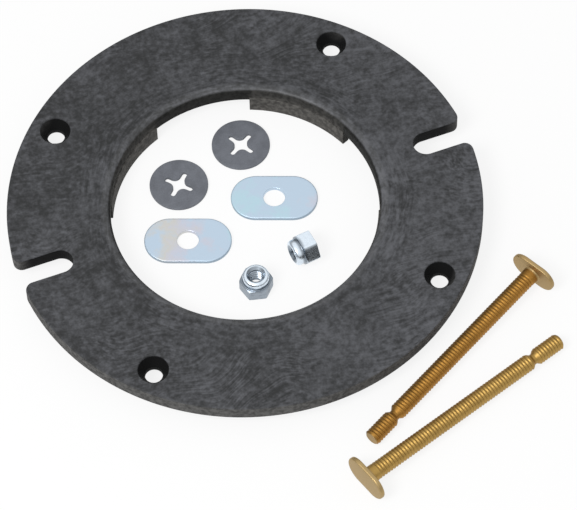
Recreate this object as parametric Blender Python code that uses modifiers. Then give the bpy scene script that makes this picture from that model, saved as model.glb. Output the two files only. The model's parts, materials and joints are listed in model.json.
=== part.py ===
"""Toilet flange extension kit, laid out on a flat surface.

A thick plastic ring raises a floor flange to the height of a new floor. Four short collar tabs under
it drop into the old flange, countersunk holes take its floor screws, and two open slots in its rim
take the pair of bolts that hold the bowl down. The loose hardware lies in the bore and beside the
ring: two snap-off bolts, two cross-cut retainer washers, two oblong washers and two open-end nuts.

Metres, +Z up, the surface at Z = 0. The slots open along X. The origin is the middle of the whole
layout's footprint, on the surface.
"""
import math

import bmesh
import bpy
from mathutils import Matrix, Vector

# Flange ring
BORE_DIAMETER = 0.1006
RING_WIDTH = 0.0386
PLATE_THICKNESS = 0.00635
BORE_EDGE_RADIUS = 0.0025
RIM_TOP_RADIUS = 0.0008
RIM_BOTTOM_RADIUS = 0.0005

# Collar tabs under the plate, one below each screw hole
TAB_COUNT = 4
TAB_DEPTH = 0.00635
TAB_WALL = 0.0030
TAB_PROUD = 0.0004
TAB_LAP = 0.0017
TAB_SPAN_DEGREES = 46.0
TAB_EDGE = 0.0003

# Countersunk holes for the floor screws
SCREW_HOLE_DIAMETER = 0.0066
SCREW_HEAD_DIAMETER = 0.0116
COUNTERSINK_DEPTH = 0.0042
SCREW_HOLE_FROM_RIM = 0.0099

# Open slots for the bowl's bolts
SLOT_COUNT = 2
SLOT_DEPTH = 0.0211
SLOT_CLEARANCE = 0.0035
SLOT_MOUTH_RADIUS = 0.0032

# Snap-off bolts with flat oblong heads
BOLT_DIAMETER = 0.00635
BOLT_LENGTH = 0.0906
BOLT_TIP_CHAMFER = 0.0007
BOLT_HEAD_LENGTH = 0.0187
BOLT_HEAD_WIDTH = 0.0114
BOLT_HEAD_THICKNESS = 0.0021
BOLT_HEAD_EDGE = 0.0004
BOLT_NECK_FLARE = 0.0004
NOTCH_FROM_TIP = 0.0127
NOTCH_WIDTH = 0.0040
NOTCH_FLOOR = 0.0010
NOTCH_DEPTH = 0.0011

# Open-end nuts: a hexagon with a round, open collar
THREAD_CLEARANCE = 0.0003
NUT_WALL = 0.00225
NUT_SHOULDER = 0.0006
NUT_HEX_HEIGHT = 0.0056
NUT_COLLAR_HEIGHT = 0.0032
NUT_COLLAR_LIP = 0.0001
NUT_BORE_CHAMFER = 0.0003
NUT_CHAMFER_DEGREES = 30.0

# Oblong washers
WASHER_LENGTH = 0.0328
WASHER_WIDTH = 0.0191
WASHER_THICKNESS = 0.0015
WASHER_HOLE_CLEARANCE = 0.00185
WASHER_EDGE = 0.00025

# Retainer washers: four tongues, parted by a cross of slits, grip the bolt's thread
RETAINER_DIAMETER = 0.0222
RETAINER_THICKNESS = 0.0012
RETAINER_GRIP = 0.00165
RETAINER_SLIT_WIDTH = 0.0019
RETAINER_SLIT_REACH = 0.0057
RETAINER_EDGE = 0.0002

# Where the small pieces lie, as shares of the bore's radius along X and Y, and how each is turned
RETAINER_SPOTS = ((-0.364, 0.466, 44.0), (0.195, 0.637, 31.0))
WASHER_SPOTS = ((0.264, 0.096, -21.2), (-0.468, -0.028, -21.2))
STANDING_NUT_SPOT = (-0.130, -0.581, 76.0)
LYING_NUT_SPOT = (0.281, -0.463, 187.5)

# How each bolt lies beside the ring: the bearing of the point on its axis nearest the ring's centre,
# the turn from that bearing to the way its tip points, the gap from the rim to its axis, and how far
# its middle is past the nearest point
BOLT_LAYS = ((-62.15, -90.0, 0.0094, -0.0039), (-71.55, 90.0, 0.0270, 0.0091))

# Fineness of the round surfaces
RING_STEPS = 96
HOLE_STEPS = 32
SMALL_STEPS = 24
ARC_STEPS = 4
SHARP_DEGREES = 30.0
MERGE_DISTANCE = 0.000002
CUT_MARGIN = 0.002
MOUTH_OVERRUN = 0.0001

# Worked-out sizes
BORE_RADIUS = BORE_DIAMETER / 2
RING_RADIUS = BORE_RADIUS + RING_WIDTH
PLATE_TOP = TAB_DEPTH + PLATE_THICKNESS
SLOT_WIDTH = BOLT_DIAMETER + SLOT_CLEARANCE
BOLT_RADIUS = BOLT_DIAMETER / 2
HEAD_HALF_WIDTH = BOLT_HEAD_WIDTH / 2
NUT_BORE_RADIUS = BOLT_RADIUS + THREAD_CLEARANCE / 2
NUT_FLAT_RADIUS = NUT_BORE_RADIUS + NUT_WALL
NUT_CORNER_RADIUS = NUT_FLAT_RADIUS / math.cos(math.pi / 6)
NUT_COLLAR_RADIUS = NUT_FLAT_RADIUS - NUT_SHOULDER
NUT_MOUTH_RADIUS = NUT_BORE_RADIUS + NUT_BORE_CHAMFER
NUT_COLLAR_ROUND = NUT_COLLAR_RADIUS - NUT_MOUTH_RADIUS - NUT_COLLAR_LIP
NUT_HEIGHT = NUT_HEX_HEIGHT + NUT_COLLAR_HEIGHT
WASHER_HOLE_RADIUS = BOLT_RADIUS + WASHER_HOLE_CLEARANCE / 2
RETAINER_WAIST = BOLT_RADIUS - RETAINER_GRIP / 2


def clear_scene():
    """Empties the scene."""
    for old in list(bpy.data.objects):
        bpy.data.objects.remove(old, do_unlink=True)


def new_collection(name):
    """A collection in the scene."""
    collection = bpy.data.collections.new(name)
    bpy.context.scene.collection.children.link(collection)
    return collection


def new_material(name, colour, roughness, metallic):
    """A plain Principled material."""
    material = bpy.data.materials.new(name)
    material.use_nodes = True
    shader = material.node_tree.nodes["Principled BSDF"]
    shader.inputs["Base Color"].default_value = (*colour, 1.0)
    shader.inputs["Roughness"].default_value = roughness
    shader.inputs["Metallic"].default_value = metallic
    return material


def arc(centre, radius, start_degrees, end_degrees, steps):
    """Points along an arc, both ends included."""
    points = []
    for step in range(steps + 1):
        angle = math.radians(start_degrees + (end_degrees - start_degrees) * step / steps)
        points.append((centre[0] + radius * math.cos(angle), centre[1] + radius * math.sin(angle)))
    return points


def circle(radius, steps):
    """Points round a circle about the origin."""
    return arc((0.0, 0.0), radius, 0.0, 360.0, steps)[:-1]


def turned_piece(name, profile, steps, closed, collection):
    """A solid turned about Z from (radius, height) points, its outer side listed top to bottom."""
    mesh = bpy.data.meshes.new(name)
    edges = [(index, index + 1) for index in range(len(profile) - 1)]
    if closed:
        edges.append((len(profile) - 1, 0))
    mesh.from_pydata([(radius, 0.0, height) for radius, height in profile], edges, [])
    piece = bpy.data.objects.new(name, mesh)
    collection.objects.link(piece)
    screw = piece.modifiers.new("Turn", "SCREW")
    screw.angle = math.tau
    screw.steps = steps
    screw.render_steps = steps
    screw.use_merge_vertices = True
    screw.merge_threshold = MERGE_DISTANCE
    return piece


def flat_piece(name, outlines, thickness, edge, collection):
    """A flat plate on Z = 0 inside the first outline, with the other outlines as holes."""
    curve = bpy.data.curves.new(name, "CURVE")
    curve.dimensions = "2D"
    curve.fill_mode = "BOTH"
    curve.extrude = thickness / 2 - edge
    curve.bevel_depth = edge
    curve.bevel_resolution = 0
    curve.offset = -edge
    for outline in outlines:
        spline = curve.splines.new("POLY")
        spline.points.add(len(outline) - 1)
        for point, (x, y) in zip(spline.points, outline):
            point.co = (x, y, 0.0, 1.0)
        spline.use_cyclic_u = True
    outline_object = bpy.data.objects.new(name + "_outline", curve)
    collection.objects.link(outline_object)
    bpy.context.view_layer.update()
    evaluated = outline_object.evaluated_get(bpy.context.evaluated_depsgraph_get())
    mesh = bpy.data.meshes.new_from_object(evaluated)
    bpy.data.objects.remove(outline_object)
    plate = bmesh.new()
    plate.from_mesh(mesh)
    bmesh.ops.remove_doubles(plate, verts=plate.verts, dist=MERGE_DISTANCE)
    bmesh.ops.translate(plate, verts=plate.verts, vec=(0.0, 0.0, thickness / 2))
    bmesh.ops.recalc_face_normals(plate, faces=plate.faces)
    plate.to_mesh(mesh)
    plate.free()
    mesh.name = name
    piece = bpy.data.objects.new(name, mesh)
    collection.objects.link(piece)
    return piece


def as_cutter(piece):
    """Marks a shape that only cuts or joins another."""
    piece.hide_render = True
    piece.display_type = "WIRE"
    return piece


def combine(piece, other, operation):
    """Adds a Boolean of one shape on another."""
    boolean = piece.modifiers.new(other.name, "BOOLEAN")
    boolean.operation = operation
    boolean.object = other
    boolean.solver = "EXACT"


def finish(piece, material, parent):
    """Gives a piece its material, smooth round faces and its place in the layout."""
    piece.data.materials.append(material)
    piece.data.shade_smooth()
    piece.data.set_sharp_from_angle(angle=math.radians(SHARP_DEGREES))
    piece.parent = parent


def on_surface(spot):
    """The place and turn of a small piece that lies in the bore."""
    x, y, degrees = spot
    place = Matrix.Translation((x * BORE_RADIUS, y * BORE_RADIUS, 0.0))
    return place @ Matrix.Rotation(math.radians(degrees), 4, "Z")


def plate_profile():
    """Section of the ring's plate: a round bore edge, a flat top and eased rim edges."""
    bore_edge = arc((BORE_RADIUS + BORE_EDGE_RADIUS, PLATE_TOP - BORE_EDGE_RADIUS),
                    BORE_EDGE_RADIUS, 180.0, 90.0, ARC_STEPS)
    rim_top = arc((RING_RADIUS - RIM_TOP_RADIUS, PLATE_TOP - RIM_TOP_RADIUS),
                  RIM_TOP_RADIUS, 90.0, 0.0, ARC_STEPS // 2)
    rim_bottom = arc((RING_RADIUS - RIM_BOTTOM_RADIUS, TAB_DEPTH + RIM_BOTTOM_RADIUS),
                     RIM_BOTTOM_RADIUS, 0.0, -90.0, ARC_STEPS // 2)
    return bore_edge + rim_top + rim_bottom + [(BORE_RADIUS, TAB_DEPTH)]


def tab_outline():
    """Plan of one collar tab, centred on X: an arc of a short pipe."""
    inner = BORE_RADIUS - TAB_PROUD
    outer = inner + TAB_WALL
    half = TAB_SPAN_DEGREES / 2
    steps = 3 * ARC_STEPS
    return arc((0.0, 0.0), outer, -half, half, steps) + arc((0.0, 0.0), inner, half, -half, steps)


def slot_outline():
    """Plan of one slot, opening along +X: a round inner end, straight sides and a flared mouth."""
    half = SLOT_WIDTH / 2
    end_centre = (RING_RADIUS - SLOT_DEPTH + half, 0.0)
    flare = RING_RADIUS - SLOT_MOUTH_RADIUS + MOUTH_OVERRUN
    flare_y = half + SLOT_MOUTH_RADIUS
    flare_x = math.sqrt(flare ** 2 - flare_y ** 2)
    flare_end = math.degrees(math.asin(flare_y / flare))
    lower = arc((flare_x, -flare_y), SLOT_MOUTH_RADIUS, 90.0, -flare_end, ARC_STEPS)
    upper = arc((flare_x, flare_y), SLOT_MOUTH_RADIUS, flare_end, -90.0, ARC_STEPS)
    beyond = RING_RADIUS + CUT_MARGIN
    outside = [(beyond, lower[-1][1]), (beyond, upper[0][1])]
    inner_end = arc(end_centre, half, 90.0, 270.0, 3 * ARC_STEPS)
    return inner_end + lower + outside + upper


def screw_hole_profile():
    """Section of the tool that cuts a countersunk hole, from above the plate to below it."""
    hole = SCREW_HOLE_DIAMETER / 2
    head = SCREW_HEAD_DIAMETER / 2
    cone_foot = PLATE_TOP - COUNTERSINK_DEPTH
    flare = (head - hole) / COUNTERSINK_DEPTH
    top = PLATE_TOP + CUT_MARGIN
    return [(0.0, top), (head + flare * CUT_MARGIN, top), (hole, cone_foot),
            (hole, TAB_DEPTH - CUT_MARGIN), (0.0, TAB_DEPTH - CUT_MARGIN)]


def make_ring(parts, cutters):
    """The flange ring: a turned plate with its tabs joined on and its slots and holes cut."""
    ring = turned_piece("flange_ring", plate_profile(), RING_STEPS, True, parts)
    tab_height = TAB_DEPTH + TAB_LAP
    hole_circle = RING_RADIUS - SCREW_HOLE_FROM_RIM
    for index in range(TAB_COUNT):
        turn = Matrix.Rotation(math.tau * (index + 0.5) / TAB_COUNT, 4, "Z")
        tab = flat_piece(f"tab_{index + 1}", [tab_outline()], tab_height, TAB_EDGE, cutters)
        tab.matrix_world = turn
        combine(ring, as_cutter(tab), "UNION")
    for index in range(TAB_COUNT):
        turn = Matrix.Rotation(math.tau * (index + 0.5) / TAB_COUNT, 4, "Z")
        hole = turned_piece(f"screw_hole_{index + 1}", screw_hole_profile(), HOLE_STEPS, False, cutters)
        hole.matrix_world = turn @ Matrix.Translation((hole_circle, 0.0, 0.0))
        combine(ring, as_cutter(hole), "DIFFERENCE")
    for index in range(SLOT_COUNT):
        turn = Matrix.Rotation(math.tau * index / SLOT_COUNT, 4, "Z")
        slot = flat_piece(f"slot_{index + 1}", [slot_outline()], PLATE_TOP + 2 * CUT_MARGIN, 0.0, cutters)
        slot.matrix_world = turn @ Matrix.Translation((0.0, 0.0, -CUT_MARGIN))
        combine(ring, as_cutter(slot), "DIFFERENCE")
    return ring


def bolt_profile():
    """Section of a bolt's shank, its tip at the top, the underside of its head at height 0."""
    notch = BOLT_LENGTH - NOTCH_FROM_TIP
    neck = BOLT_RADIUS - NOTCH_DEPTH
    tip = [(0.0, BOLT_LENGTH), (BOLT_RADIUS - BOLT_TIP_CHAMFER, BOLT_LENGTH),
           (BOLT_RADIUS, BOLT_LENGTH - BOLT_TIP_CHAMFER)]
    groove = [(BOLT_RADIUS, notch + NOTCH_WIDTH / 2), (neck, notch + NOTCH_FLOOR / 2),
              (neck, notch - NOTCH_FLOOR / 2), (BOLT_RADIUS, notch - NOTCH_WIDTH / 2)]
    flare = [(BOLT_RADIUS, BOLT_NECK_FLARE), (BOLT_RADIUS + 2 * BOLT_NECK_FLARE, -BOLT_NECK_FLARE)]
    return tip + groove + flare + [(0.0, -BOLT_NECK_FLARE)]


def head_outline():
    """Plan of a bolt's head: straight sides across X and round ends along Y."""
    reach = BOLT_HEAD_LENGTH / 2 - HEAD_HALF_WIDTH
    steps = SMALL_STEPS // 2
    return (arc((0.0, reach), HEAD_HALF_WIDTH, 0.0, 180.0, steps)
            + arc((0.0, -reach), HEAD_HALF_WIDTH, 180.0, 360.0, steps))


def resting_tilt():
    """Slope of a bolt that lies with one straight side of its head and its tip on a surface."""
    drop = HEAD_HALF_WIDTH - BOLT_RADIUS
    reach = BOLT_LENGTH - BOLT_TIP_CHAMFER + BOLT_HEAD_EDGE
    return math.atan2(drop, reach)


def make_bolt(index, lay, parts, cutters, layout):
    """A bolt and its pivot, the line inside the edge of the head on which it tips up to stand."""
    bearing, tip_turn, rim_gap, past_nearest = lay
    tilt = resting_tilt()
    outward = Matrix.Rotation(math.radians(bearing), 3, "Z") @ Vector((1.0, 0.0, 0.0))
    forward = Matrix.Rotation(math.radians(tip_turn), 3, "Z") @ outward
    upward = Vector((0.0, 0.0, 1.0))
    axis = forward * math.cos(tilt) - upward * math.sin(tilt)
    down = -forward * math.sin(tilt) - upward * math.cos(tilt)
    turn = Matrix((down, axis.cross(down), axis)).transposed()
    middle = outward * (RING_RADIUS + rim_gap) + forward * past_nearest
    head = middle - forward * (math.cos(tilt) * BOLT_LENGTH / 2)
    head.z = HEAD_HALF_WIDTH * math.cos(tilt) - BOLT_HEAD_EDGE * math.sin(tilt)
    pivot_on_bolt = Vector((HEAD_HALF_WIDTH - BOLT_HEAD_EDGE, 0.0, BOLT_HEAD_EDGE - BOLT_HEAD_THICKNESS))

    pivot = bpy.data.objects.new(f"bolt_pivot_{index}", None)
    parts.objects.link(pivot)
    pivot.empty_display_size = BOLT_DIAMETER
    pivot.parent = layout
    pivot.matrix_local = Matrix.Translation(head + turn @ pivot_on_bolt) @ turn.to_4x4()

    bolt = turned_piece(f"closet_bolt_{index}", bolt_profile(), SMALL_STEPS, False, parts)
    bolt.matrix_local = Matrix.Translation(-pivot_on_bolt)
    plate = flat_piece(f"bolt_head_{index}", [head_outline()], BOLT_HEAD_THICKNESS, BOLT_HEAD_EDGE, cutters)
    plate.parent = bolt
    plate.location.z = -BOLT_HEAD_THICKNESS
    combine(bolt, as_cutter(plate), "UNION")
    return bolt, pivot


def nut_profile():
    """Section of a nut before its flats are cut: bore, round collar, chamfered shoulder and base."""
    drop = math.tan(math.radians(NUT_CHAMFER_DEGREES))
    wide = NUT_CORNER_RADIUS + CUT_MARGIN
    shoulder_drop = (wide - NUT_FLAT_RADIUS) * drop
    base_rise = (wide - NUT_CORNER_RADIUS) * drop
    collar = arc((NUT_COLLAR_RADIUS - NUT_COLLAR_ROUND, NUT_HEIGHT - NUT_COLLAR_ROUND),
                 NUT_COLLAR_ROUND, 90.0, 0.0, ARC_STEPS)
    return ([(NUT_MOUTH_RADIUS, NUT_HEIGHT)] + collar
            + [(NUT_COLLAR_RADIUS, NUT_HEX_HEIGHT), (NUT_FLAT_RADIUS, NUT_HEX_HEIGHT),
               (wide, NUT_HEX_HEIGHT - shoulder_drop), (wide, base_rise), (NUT_CORNER_RADIUS, 0.0),
               (NUT_MOUTH_RADIUS, 0.0), (NUT_BORE_RADIUS, NUT_BORE_CHAMFER),
               (NUT_BORE_RADIUS, NUT_HEIGHT - NUT_BORE_CHAMFER)])


def make_nut(index, parts, cutters):
    """An open-end nut on its base, with two of its flats facing along X."""
    nut = turned_piece(f"open_end_nut_{index}", nut_profile(), 2 * SMALL_STEPS, True, parts)
    prism = bmesh.new()
    bmesh.ops.create_cone(prism, cap_ends=True, segments=6, radius1=NUT_CORNER_RADIUS,
                          radius2=NUT_CORNER_RADIUS, depth=2 * NUT_HEIGHT + CUT_MARGIN)
    mesh = bpy.data.meshes.new(f"hexagon_{index}")
    prism.to_mesh(mesh)
    prism.free()
    hexagon = bpy.data.objects.new(mesh.name, mesh)
    cutters.objects.link(hexagon)
    hexagon.parent = nut
    combine(nut, as_cutter(hexagon), "INTERSECT")
    return nut


def lying_nut_place():
    """Place of a nut on one of its flats: its collar points along X before it is turned."""
    on_flat = Matrix.Translation((-NUT_HEIGHT / 2, 0.0, NUT_FLAT_RADIUS))
    tipped = Matrix.Rotation(math.pi / 2, 4, "Y")
    return on_surface(LYING_NUT_SPOT) @ on_flat @ tipped


def washer_outlines():
    """Plan of an oblong washer and its round hole."""
    end = WASHER_WIDTH / 2
    reach = WASHER_LENGTH / 2 - end
    steps = SMALL_STEPS // 2
    rim = arc((reach, 0.0), end, -90.0, 90.0, steps) + arc((-reach, 0.0), end, 90.0, 270.0, steps)
    return [rim, circle(WASHER_HOLE_RADIUS, SMALL_STEPS)[::-1]]


def retainer_outlines():
    """Plan of a retainer washer and its cross-shaped hole, the slits along X and Y.

    Each tongue ends in an arc that runs into the sides of the slits beside it.
    """
    half = RETAINER_SLIT_WIDTH / 2
    corner = (RETAINER_WAIST - half) / (math.sqrt(2.0) - 1.0)
    cross = []
    for quarter in range(4):
        slit_end = arc((RETAINER_SLIT_REACH - half, 0.0), half, -90.0, 90.0, ARC_STEPS)
        tongue = arc((corner, corner), corner - half, 270.0, 180.0, 2 * ARC_STEPS)
        turn = Matrix.Rotation(math.tau * quarter / 4, 2)
        cross += [tuple(turn @ Vector(point)) for point in slit_end + tongue]
    return [circle(RETAINER_DIAMETER / 2, 2 * SMALL_STEPS), cross[::-1]]


def centre_layout(layout, pieces):
    """Moves the layout so that the middle of its footprint is the origin."""
    bpy.context.view_layer.update()
    graph = bpy.context.evaluated_depsgraph_get()
    points = []
    for piece in pieces:
        evaluated = piece.evaluated_get(graph)
        points += [evaluated.matrix_world @ vertex.co for vertex in evaluated.to_mesh().vertices]
        evaluated.to_mesh_clear()
    for axis in range(2):
        spread = [point[axis] for point in points]
        layout.location[axis] = -(min(spread) + max(spread)) / 2
    bpy.context.view_layer.update()


def main():
    """Makes every piece and lays the kit out."""
    clear_scene()
    parts = new_collection("toilet_flange_kit")
    cutters = new_collection("cutting_shapes")
    black_plastic = new_material("black_plastic", (0.060, 0.062, 0.064), 0.55, 0.0)
    grey_plastic = new_material("grey_plastic", (0.145, 0.155, 0.175), 0.50, 0.0)
    zinc = new_material("zinc_plate", (0.66, 0.71, 0.76), 0.30, 1.0)
    brass = new_material("brass", (0.62, 0.40, 0.14), 0.35, 1.0)

    layout = bpy.data.objects.new("layout", None)
    parts.objects.link(layout)
    pieces = []

    ring = make_ring(parts, cutters)
    finish(ring, black_plastic, layout)
    pieces.append(ring)
    for cutter in cutters.objects:
        cutter.parent = ring

    for index, lay in enumerate(BOLT_LAYS, start=1):
        bolt, pivot = make_bolt(index, lay, parts, cutters, layout)
        finish(bolt, brass, pivot)
        pieces.append(bolt)

    for index, spot in enumerate(RETAINER_SPOTS, start=1):
        retainer = flat_piece(f"retainer_washer_{index}", retainer_outlines(),
                              RETAINER_THICKNESS, RETAINER_EDGE, parts)
        finish(retainer, grey_plastic, layout)
        retainer.matrix_local = on_surface(spot)
        pieces.append(retainer)

    for index, spot in enumerate(WASHER_SPOTS, start=1):
        washer = flat_piece(f"oblong_washer_{index}", washer_outlines(),
                            WASHER_THICKNESS, WASHER_EDGE, parts)
        finish(washer, zinc, layout)
        washer.matrix_local = on_surface(spot)
        pieces.append(washer)

    nut_places = (on_surface(STANDING_NUT_SPOT), lying_nut_place())
    for index, place in enumerate(nut_places, start=1):
        nut = make_nut(index, parts, cutters)
        finish(nut, zinc, layout)
        nut.matrix_local = place
        pieces.append(nut)

    centre_layout(layout, pieces)


main()
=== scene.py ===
"""Looks of a toilet flange extension kit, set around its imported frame.

Every new shape is a surface computed with numpy. Lengths are metres and +Z is up.
"""

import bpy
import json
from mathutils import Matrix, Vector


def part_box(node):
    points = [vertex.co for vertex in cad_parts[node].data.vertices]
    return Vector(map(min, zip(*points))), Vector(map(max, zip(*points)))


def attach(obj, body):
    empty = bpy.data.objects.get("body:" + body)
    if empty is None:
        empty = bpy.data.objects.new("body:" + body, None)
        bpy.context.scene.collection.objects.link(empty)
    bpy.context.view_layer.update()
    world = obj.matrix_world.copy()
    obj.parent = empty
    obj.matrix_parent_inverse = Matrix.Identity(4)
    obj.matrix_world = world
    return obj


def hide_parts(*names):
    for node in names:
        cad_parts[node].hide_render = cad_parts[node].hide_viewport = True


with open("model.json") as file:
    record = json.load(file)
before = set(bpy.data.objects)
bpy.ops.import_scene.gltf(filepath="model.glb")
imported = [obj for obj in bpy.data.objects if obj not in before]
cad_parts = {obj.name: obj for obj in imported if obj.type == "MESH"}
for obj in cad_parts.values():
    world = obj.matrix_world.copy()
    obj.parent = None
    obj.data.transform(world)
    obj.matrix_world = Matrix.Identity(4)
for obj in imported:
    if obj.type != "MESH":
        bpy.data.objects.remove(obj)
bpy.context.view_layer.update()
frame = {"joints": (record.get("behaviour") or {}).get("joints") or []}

import json
import math

import bmesh
import bpy
import numpy as np
from bpy.props import FloatProperty, FloatVectorProperty, PointerProperty
from mathutils import Euler, Matrix, Vector

bl_info = {
    "name": "Flange Kit",
    "version": (1, 0, 0),
    "blender": (4, 5, 0),
    "location": "View3D > Sidebar > Flange Kit",
    "description": "Builds the looks of a toilet flange extension kit around its packed frame",
    "category": "Add Mesh",
}

TURN = 2.0 * math.pi
WELD_DISTANCE = 2e-6
SHARP_EDGE = math.radians(32.0)
LOCAL = "local"
WHITE = (1.0, 1.0, 1.0, 1.0)


def node_size(node):
    """Width, depth and height of a CAD node's box."""
    low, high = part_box(node)
    return high - low


def length(name, description, default):
    """A length in metres."""
    return FloatProperty(name=name, description=description, default=default, min=0.0, precision=5,
                         subtype="DISTANCE", unit="LENGTH")


def angle(name, description, degrees):
    """An angle, given in degrees and kept in radians."""
    return FloatProperty(name=name, description=description, default=math.radians(degrees),
                         subtype="ANGLE", unit="ROTATION")


def share(name, description, default):
    """A plain number from 0 to 1."""
    return FloatProperty(name=name, description=description, default=default, min=0.0, max=1.0,
                         subtype="FACTOR")


def colour(name, description, default):
    """A linear colour."""
    return FloatVectorProperty(name=name, description=description, default=default, size=3, min=0.0,
                               max=1.0, subtype="COLOR")


def spot(name, description, default):
    """A place in metres."""
    return FloatVectorProperty(name=name, description=description, default=default, size=3, precision=5,
                               subtype="TRANSLATION", unit="LENGTH")


class FlangeRingSettings(bpy.types.PropertyGroup):
    """Colours and sizes of the spacer ring."""
    pale_stroke: colour("Pale stroke", "Paler scratches in the upper face", (0.118, 0.121, 0.132))
    dark_stroke: colour("Dark stroke", "Darker ground of the upper face", (0.034, 0.035, 0.036))
    # Painted shade: near-black standing for the shade in the holes and the slots.
    wall: colour("Wall", "Clean black of the holes and the slots", (0.0040, 0.0042, 0.0044))
    dusty: colour("Dusty wall", "Dusty grey of the outer wall", (0.084, 0.083, 0.081))
    # Painted shade: near-black standing for the shade on the bore's wall.
    bore_shade: colour("Bore grey", "Dusty black of the bore's wall", (0.018, 0.018, 0.017))
    tab_grey: colour("Tab grey", "Dusty grey of the collar tabs", (0.090, 0.086, 0.080))
    top_level: length("Top level", "Height of the upper face", node_size("flange_ring").z)
    under_level: length("Under level", "Height of the plate's underside", 0.00635)
    bore: length("Bore", "Radius of the bore", 0.0503)
    rim: length("Rim", "Radius of the outer wall", node_size("flange_ring").y / 2)
    edge_round: length("Edge round", "Radius of the bore's upper edge", 0.0025)
    rim_round: length("Rim round", "Radius of the upper edge of the rim", 0.0007)
    ease: length("Ease", "Eased lower edges", 0.0004)
    tab_inner: length("Tab inner", "Inner radius of the collar tabs", 0.0499)
    tab_outer: length("Tab outer", "Outer radius of the collar tabs", 0.0529)
    tab_top: length("Tab top", "Height of the tabs' upper ledge", 0.00805)
    tab_edge: length("Tab edge", "Bevel of the tabs", 0.0003)
    hole_circle: length("Hole circle", "Radius of the circle of screw holes", 0.0790)
    hole: length("Hole", "Radius of a screw hole", 0.0033)
    hole_head: length("Hole head", "Radius of a countersink", 0.0058)
    hole_ease: length("Hole ease", "Eased edges of the screw holes", 0.0003)
    sink: length("Countersink", "Depth of a countersink", 0.0042)
    slot_width: length("Slot width", "Width of the two slots", 0.00985)
    slot_depth: length("Slot depth", "Rim to the inner end of a slot", 0.0211)
    slot_mouth: length("Slot mouth", "Radius at the corners of a slot's mouth", 0.0032)
    slot_ease: length("Slot ease", "Eased upper edge of the slots", 0.00025)


class BoltSettings(bpy.types.PropertyGroup):
    """Sizes and colours of the two bolts."""
    diameter: length("Diameter", "Outside diameter of the thread", 0.00635)
    length: length("Length", "Shank from the underside of the head to the tip", 0.0906)
    pitch: length("Pitch", "Distance from one thread crest to the next", 0.00127)
    thread_depth: length("Thread depth", "Height of the thread from root to crest", 0.00030)
    plain_neck: length("Plain neck", "Smooth shank under the head", 0.0022)
    neck_fillet: length("Neck fillet", "Radius where the shank meets the head", 0.0007)
    tip_chamfer: length("Tip chamfer", "Bevel round the tip", 0.0007)
    head_length: length("Head length", "Head, end to end", 0.0187)
    head_width: length("Head width", "Head across its straight sides", 0.0114)
    head_thickness: length("Head thickness", "Thickness of the head", 0.0021)
    head_edge: length("Head edge", "Size of the eased edge that the bolt rests on", 0.0004)
    head_round: length("Head round", "Radius of the head's edge on its outer face", 0.00055)
    head_ease: length("Head ease", "Radius of the head's edge on the shank's side", 0.0004)
    head_crown: length("Head crown", "Rise of the outer face from its edge to its middle", 0.00012)
    head_taper: length("Head taper", "Thinning of the head from the neck to its edge", 0.00022)
    notch_from_tip: length("Notch from tip", "Middle of the break-off groove to the tip", 0.0127)
    notch_width: length("Notch width", "Width of the break-off groove", 0.0040)
    notch_floor: length("Notch floor", "Flat floor of the groove", 0.0010)
    notch_depth: length("Notch depth", "Depth of the groove", 0.0011)
    brass: colour("Brass", "Clean brass", (0.45, 0.288, 0.087))
    warm_brass: colour("Warm brass", "Brass under an orange film", (0.435, 0.224, 0.050))
    tarnish: colour("Tarnish", "Brown tarnish on the brass", (0.14, 0.077, 0.02))
    dull_head: colour("Dull head", "Dull film on the head and the tip", (0.44, 0.322, 0.157))


class NutSettings(bpy.types.PropertyGroup):
    """Sizes, headings and colours of the two nuts."""
    crest: length("Thread crest", "Bore radius at the thread's crests", 0.00262)
    mouth: length("Mouth", "Bore radius at its open ends", 0.00350)
    flat: length("Flat", "Axis to the middle of a flat", node_size("open_end_nut_2").z / 2)
    collar: length("Collar", "Radius of the round collar", 0.004975)
    hex_height: length("Hexagon height", "Height of the hexagon", 0.0056)
    height: length("Height", "Height of the whole nut", node_size("open_end_nut_1").z)
    thread_depth: length("Thread depth", "Depth of the thread in the bore", 0.00055)
    foot_ease: length("Foot ease", "Radius of the hexagon's lower edge", 0.00025)
    corner_wear: length("Corner wear", "Metal gone from the hexagon's six corners", 0.00012)
    collar_fillet: length("Collar fillet", "Radius where the collar meets the hexagon", 0.00035)
    lip: length("Lip", "Flat rim round the upper mouth", 0.0001)
    shoulder_slope: angle("Shoulder slope", "Slope of the hexagon's shoulder", 30.0)
    standing_turn: angle("Standing turn", "Turn of the standing nut about its axis", 76.0)
    lying_turn: angle("Lying turn", "Direction in which the lying nut's collar points", 187.5)
    zinc: colour("Zinc", "Zinc plating", (0.77, 0.86, 0.95))
    # Painted shade for the bore, the corner under the collar and the hexagon, and grime in random patches.
    grime_and_painted_shade: colour("Grime", "Dull film in the recesses", (0.12, 0.145, 0.175))


class WasherSettings(bpy.types.PropertyGroup):
    """Sizes, heading and colours of the two oblong washers."""
    length: length("Length", "Washer, end to end", 0.0328)
    width: length("Width", "Washer across its straight sides", 0.0191)
    thickness: length("Thickness", "Thickness of the sheet", node_size("oblong_washer_1").z)
    hole: length("Hole", "Radius of the hole", 0.0041)
    hole_roll: length("Hole roll", "Radius of the hole's upper edge", 0.0002)
    roll_width: length("Roll width", "Width of the rolled-down upper edge", 0.0009)
    roll_drop: length("Roll drop", "Drop of the rolled-down upper edge", 0.00030)
    burr: length("Burr", "Radius of the lower edge", 0.00012)
    heading: angle("Heading", "Direction of the washers' long sides", -21.2)
    zinc: colour("Zinc", "Blue-white zinc plating", (0.53, 0.65, 0.775))
    cyan: colour("Cyan", "Blue-green tint of the passivated film", (0.50, 0.69, 0.78))
    straw: colour("Straw", "Yellow tint of the passivated film", (0.63, 0.625, 0.60))
    rose: colour("Rose", "Pink tint of the passivated film", (0.60, 0.62, 0.71))
    # Painted shade: a darker copy of the zinc round the outer edge.
    edge_shade: colour("Worn edge", "Duller zinc round the outer edge", (0.34, 0.42, 0.49))


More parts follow.
